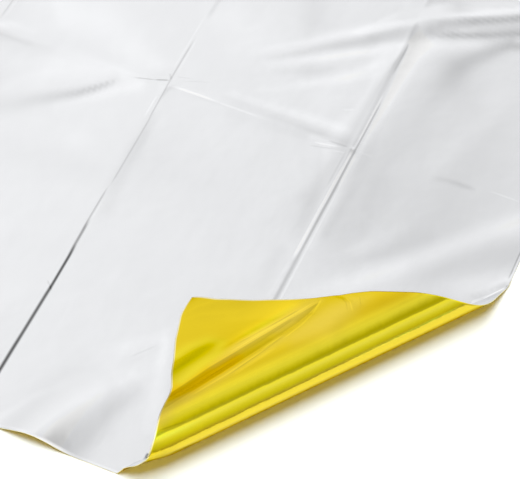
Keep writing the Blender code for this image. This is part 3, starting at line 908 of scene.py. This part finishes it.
def gold_colour(tree, flat):
    """Yellow lacquered metal: amber where it lies flat, with painted reflection colours, lemon and
    olive, over the bends, and a pale cream band along the cut edges.
    """
    lacquer_and_reflection_colour = add_node(tree, ATTRIBUTE, attribute_name="lacquer_and_reflections").outputs["Color"]
    axes = add_node(tree, AXES, {"Vector": flat})
    inside = add_node(tree, MATH, {0: axes.outputs["X"], 1: axes.outputs["Y"]},
                      operation="MINIMUM")
    pale = held_within(tree, 1.0, (inside, CUT_BAND, CUT_BAND * 0.5),
                       (axes.outputs["Y"], CUT_END, CUT_END - CUT_FADE))
    blend = add_node(tree, MIX, data_type="RGBA",
                     inputs={"Factor": pale, COLOUR_A: lacquer_and_reflection_colour, COLOUR_B: linear(CREAM)})
    return blend.outputs[COLOUR_RESULT]


# Aluminised polyester: metal vapour on clear film, a pale mirror, with painted shade that greys it
# along its creases.
# Gold lacquered polyester: the same metal under a thin coat of yellow lacquer, deep amber where it
# lies flat, with a sharper shine. Both are as rough as thin film that has been packed and opened
FINISHES = {
    "aluminised_film": {
        "colour": silver_colour, "roughness": 0.20, "glance": "#FFFFFF",
        "painted_light_and_mottle": "silver_painted_light", "lines": SILVER_LIGHT_AND_SHADE_LINES, "bands": ()},
    "gold_lacquered_film": {
        "colour": gold_colour, "roughness": 0.12, "glance": GLANCE,
        "painted_light_and_mottle": "gold_painted_light", "lines": GOLD_LIGHT_AND_SHADE_LINES, "bands": GOLD_SHADE_BANDS},
}


def film_material(name):
    """Bright film: a metal mirror, softened by the crinkle of thin plastic, with painted highlights
    and painted shade in its colour that stand in for what its bends and creases mirror.
    """
    finish = FINISHES[name]
    material = bpy.data.materials.new(name)
    material.use_nodes = True
    tree = material.node_tree
    shader = tree.nodes["Principled BSDF"]
    shader.inputs["Metallic"].default_value = 1.0
    shader.inputs["Roughness"].default_value = finish["roughness"]
    shader.inputs["Specular Tint"].default_value = linear(finish["glance"])
    flat = add_node(tree, "ShaderNodeUVMap", uv_map="flat").outputs["UV"]
    levels = [line_level(tree, flat, line) for line in finish["lines"]]
    levels += [band_level(tree, flat, band) for band in finish["bands"]]
    crisp, *others = levels + [crease_shade_level(tree, flat)]
    for level in others:
        crisp = add_node(tree, MATH, {0: crisp, 1: level}, operation="ADD")
    # the painted light and shade of the point values and of the crisp lines, bands and crease
    # hairlines brighten and darken the colour, with a faint random mottle
    painted_light_and_mottle = add_node(tree, ATTRIBUTE, attribute_name=finish["painted_light_and_mottle"]).outputs["Fac"]
    painted_light_and_mottle = add_node(tree, MATH, {0: painted_light_and_mottle, 1: crisp}, operation="ADD")
    mottle = add_node(tree, NOISE, {"Vector": flat, "Scale": 1.0 / MOTTLE_SIZE, "Detail": 2.0})
    mottle = add_node(tree, MATH, {0: mottle, 1: 0.5}, operation="SUBTRACT")
    mottle = add_node(tree, MATH, {0: mottle, 1: MOTTLE}, operation="MULTIPLY")
    painted_light_and_mottle = add_node(tree, MATH, {0: painted_light_and_mottle, 1: mottle}, operation="ADD")
    painted_light_and_mottle = add_node(tree, MATH, {0: painted_light_and_mottle, 1: 1.0}, operation="ADD")
    shaded = add_node(tree, VECTOR, {0: finish["colour"](tree, flat), "Scale": painted_light_and_mottle},
                      operation="SCALE")
    tree.links.new(shaded.outputs["Vector"], shader.inputs["Base Color"])
    place = add_node(tree, PLACE)
    crinkle = add_node(tree, NOISE, {"Vector": place.outputs["Object"],
                                     "Scale": 1.0 / CRINKLE_SIZE, "Detail": 3.0})
    bump = add_node(tree, "ShaderNodeBump", {"Height": crinkle, "Strength": 1.0,
                                             "Distance": CRINKLE_HEIGHT})
    tree.links.new(bump.outputs["Normal"], shader.inputs["Normal"])
    return material


def plain_material(name, code, roughness):
    """Even finish without a pattern, for what is too thin or too plain to show one."""
    material = bpy.data.materials.new(name)
    material.use_nodes = True
    shader = material.node_tree.nodes["Principled BSDF"]
    shader.inputs["Base Color"].default_value = linear(code)
    shader.inputs["Roughness"].default_value = roughness
    return material


# ---------------- camera, floor and light
VIEW_AZIMUTH = math.radians(23.35)
VIEW_ELEVATION = math.radians(53.7)
VIEW_TARGET = Vector((0.6807, -0.9054, 0.0))
VIEW_DISTANCE = 1.050
LENS = 150.9
SENSOR = 36.0
VIEW_RANGE = (0.05, 50.0)

FLOOR_HALF = 6.0
FLOOR_WHITE = "#F7F7F7"

# Brightness of the surround by the sine of its height, behind the sheet and in front of it, and
# its share overhead from left to right
BEHIND_STOPS = ((-1.0, 0.60), (0.0, 0.74), (0.12, 0.84), (0.50, 0.95), (0.74, 0.98),
                (0.86, 0.90), (1.0, 0.84))
FRONT_STOPS = ((-1.0, 0.60), (-0.01, 0.60), (0.01, 0.36), (0.12, 0.56), (0.35, 0.72),
               (0.55, 0.87), (0.68, 0.98), (1.0, 0.90))
SIDE_STOPS = ((-1.0, 1.10), (-0.30, 1.08), (-0.12, 1.03), (0.0, 0.97), (0.08, 0.88),
              (0.20, 0.86), (0.31, 0.70), (0.45, 0.47), (1.0, 0.47))
FRONT_BLEND = 0.25      # half width of the change from behind to in front
OVERHEAD_START = 0.66
OVERHEAD_FULL = 0.74

# Softboxes, a large cool one nearly overhead and a weak warm fill in front, both for the floor:
# place from the middle of the view in metres, width, power in watts, tint
SOFTBOXES = (
    ("softbox", (-0.17, 0.19, 3.00), 2.25, 120.0, (0.84, 0.93, 1.0)),
    ("fill", (0.90, -2.00, 2.00), 2.0, 35.0, (1.0, 0.76, 0.22)),
)


def put(name, data):
    """Put a new object in the scene."""
    thing = bpy.data.objects.new(name, data)
    bpy.context.scene.collection.objects.link(thing)
    return thing


def make_camera():
    """Camera above the near right-hand corner."""
    level = math.cos(VIEW_ELEVATION)
    back = Vector((math.sin(VIEW_AZIMUTH) * level, -math.cos(VIEW_AZIMUTH) * level,
                   math.sin(VIEW_ELEVATION)))
    camera = bpy.data.cameras.new("view")
    camera.lens = LENS
    camera.sensor_width = SENSOR
    camera.clip_start, camera.clip_end = VIEW_RANGE
    holder = put("view", camera)
    holder.location = VIEW_TARGET + back * VIEW_DISTANCE
    holder.rotation_euler = back.to_track_quat("Z", "Y").to_euler()
    bpy.context.scene.camera = holder


def make_floor():
    """Plain pale floor, dull so that it doesn't shine."""
    mesh = bpy.data.meshes.new("floor")
    corners = [(x * FLOOR_HALF, y * FLOOR_HALF, 0) for x, y in ((-1, -1), (1, -1), (1, 1), (-1, 1))]
    mesh.from_pydata(corners, [], [(0, 1, 2, 3)])
    material = plain_material("white_floor", FLOOR_WHITE, 0.9)
    material.node_tree.nodes["Principled BSDF"].inputs["Specular IOR Level"].default_value = 0.0
    mesh.materials.append(material)
    put("floor", mesh)


def make_sky():
    """Soft studio surround for the film to mirror; the softboxes light the floor."""
    world = bpy.data.worlds.new("studio")
    bpy.context.scene.world = world
    world.use_nodes = True
    world.cycles_visibility.diffuse = False
    tree = world.node_tree
    place = add_node(tree, PLACE)
    turned = add_node(tree, "ShaderNodeMapping", vector_type="POINT",
                      inputs={"Vector": place.outputs["Generated"],
                              "Rotation": (0.0, 0.0, -VIEW_AZIMUTH)})
    axes = add_node(tree, AXES, {"Vector": turned})
    levels = []
    for axis, stops in (("Z", BEHIND_STOPS), ("Z", FRONT_STOPS), ("X", SIDE_STOPS)):
        spread = add_node(tree, RANGE, {"Value": axes.outputs[axis], "From Min": -1.0,
                                        "From Max": 1.0})
        levels.append(add_node(tree, "ShaderNodeValToRGB", {"Fac": spread}))
        elements = levels[-1].color_ramp.elements
        while len(elements) < len(stops):
            elements.new(0.5)
        for element, (height, level) in zip(elements, stops):
            element.position = (height + 1.0) / 2.0
            element.color = (level, level, level, 1.0)
    in_front = held_within(tree, 1.0, (axes.outputs["Y"], FRONT_BLEND, -FRONT_BLEND))
    overhead = held_within(tree, 1.0, (axes.outputs["Z"], OVERHEAD_START, OVERHEAD_FULL))
    level = add_node(tree, MIX, data_type="FLOAT",
                     inputs={"Factor": in_front, NUMBER_A: levels[0], NUMBER_B: levels[1]})
    side = add_node(tree, MIX, data_type="FLOAT",
                    inputs={"Factor": overhead, NUMBER_A: 1.0, NUMBER_B: levels[2]})
    strength = add_node(tree, MATH, {0: level, 1: side}, operation="MULTIPLY")
    background = tree.nodes["Background"]
    background.inputs["Color"].default_value = (1.0, 1.0, 1.0, 1.0)
    tree.links.new(strength.outputs[0], background.inputs["Strength"])


def make_lights():
    """Square softboxes turned to the middle of the view, and left out of the film's mirror."""
    for name, place, size, power, tint in SOFTBOXES:
        lamp = bpy.data.lights.new(name, "AREA")
        lamp.shape = "SQUARE"
        lamp.size = size
        lamp.energy = power
        lamp.color = tint
        holder = put(name, lamp)
        holder.location = VIEW_TARGET + Vector(place)
        holder.rotation_euler = Vector(place).to_track_quat("Z", "Y").to_euler()
        holder.visible_glossy = False


# ---------------- put together
def main():
    """Dress the blanket."""
    bpy.context.scene.view_settings.view_transform = "Standard"
    mesh = film_mesh()
    for name in FINISHES:
        mesh.materials.append(film_material(name))
    # slit edge of the film: the lacquer shows pale and matt there, since a cut doesn't mirror
    mesh.materials.append(plain_material("cut_film_edge", CUT_EDGE, 0.4))
    blanket = put("foil_film", mesh)
    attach(blanket, "root")
    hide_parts("foil_blanket")
    make_floor()
    make_sky()
    make_lights()
    make_camera()


main()
